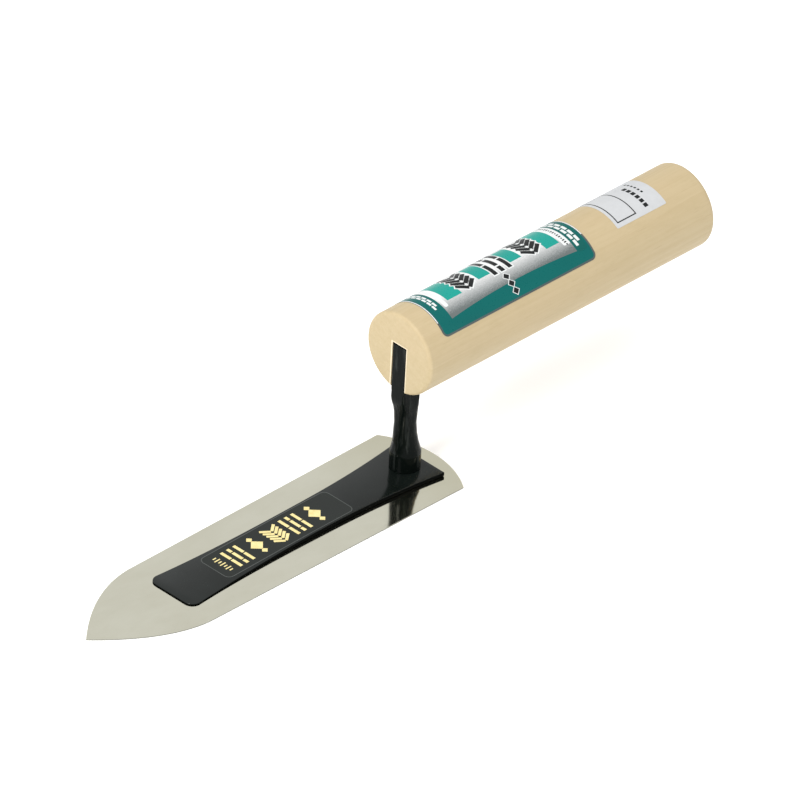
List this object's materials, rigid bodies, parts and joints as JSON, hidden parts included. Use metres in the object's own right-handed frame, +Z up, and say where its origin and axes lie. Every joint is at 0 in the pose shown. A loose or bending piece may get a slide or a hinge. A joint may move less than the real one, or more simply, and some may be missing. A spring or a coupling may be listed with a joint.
{
  "type": "plastering trowel",
  "caption": "Hand trowel with a thin sword-point blade, a waisted back plate, an upright forged neck near the heel and a plain round wooden handle.",
  "frame": {"origin": "on the blade's flat underside, directly below the middle of the neck's foot", "axes": "+X back along the handle to its butt, so the blade's tip points to -X; +Y across the blade, to the right of someone who looks from the butt towards the tip; +Z up from the working face"},
  "size_m": [0.2817, 0.0414, 0.0658],
  "materials": {
    "blade_steel": "polished",
    "plate_paint": "gloss",
    "neck_paint": "gloss",
    "handle_wood": "satin",
    "bond_glue": "satin",
    "label_foil": "gloss",
    "label_paper": "satin",
    "gold_print": "gloss"
  },
  "bodies": {
    "root": {"blade": "blade_steel", "bond_film": "bond_glue", "back_plate": "plate_paint", "neck": "neck_paint", "handle": "handle_wood", "handle_label": "label_foil", "name_label": "label_paper", "plate_sticker": "gold_print"}
  },
  "joints": []
}
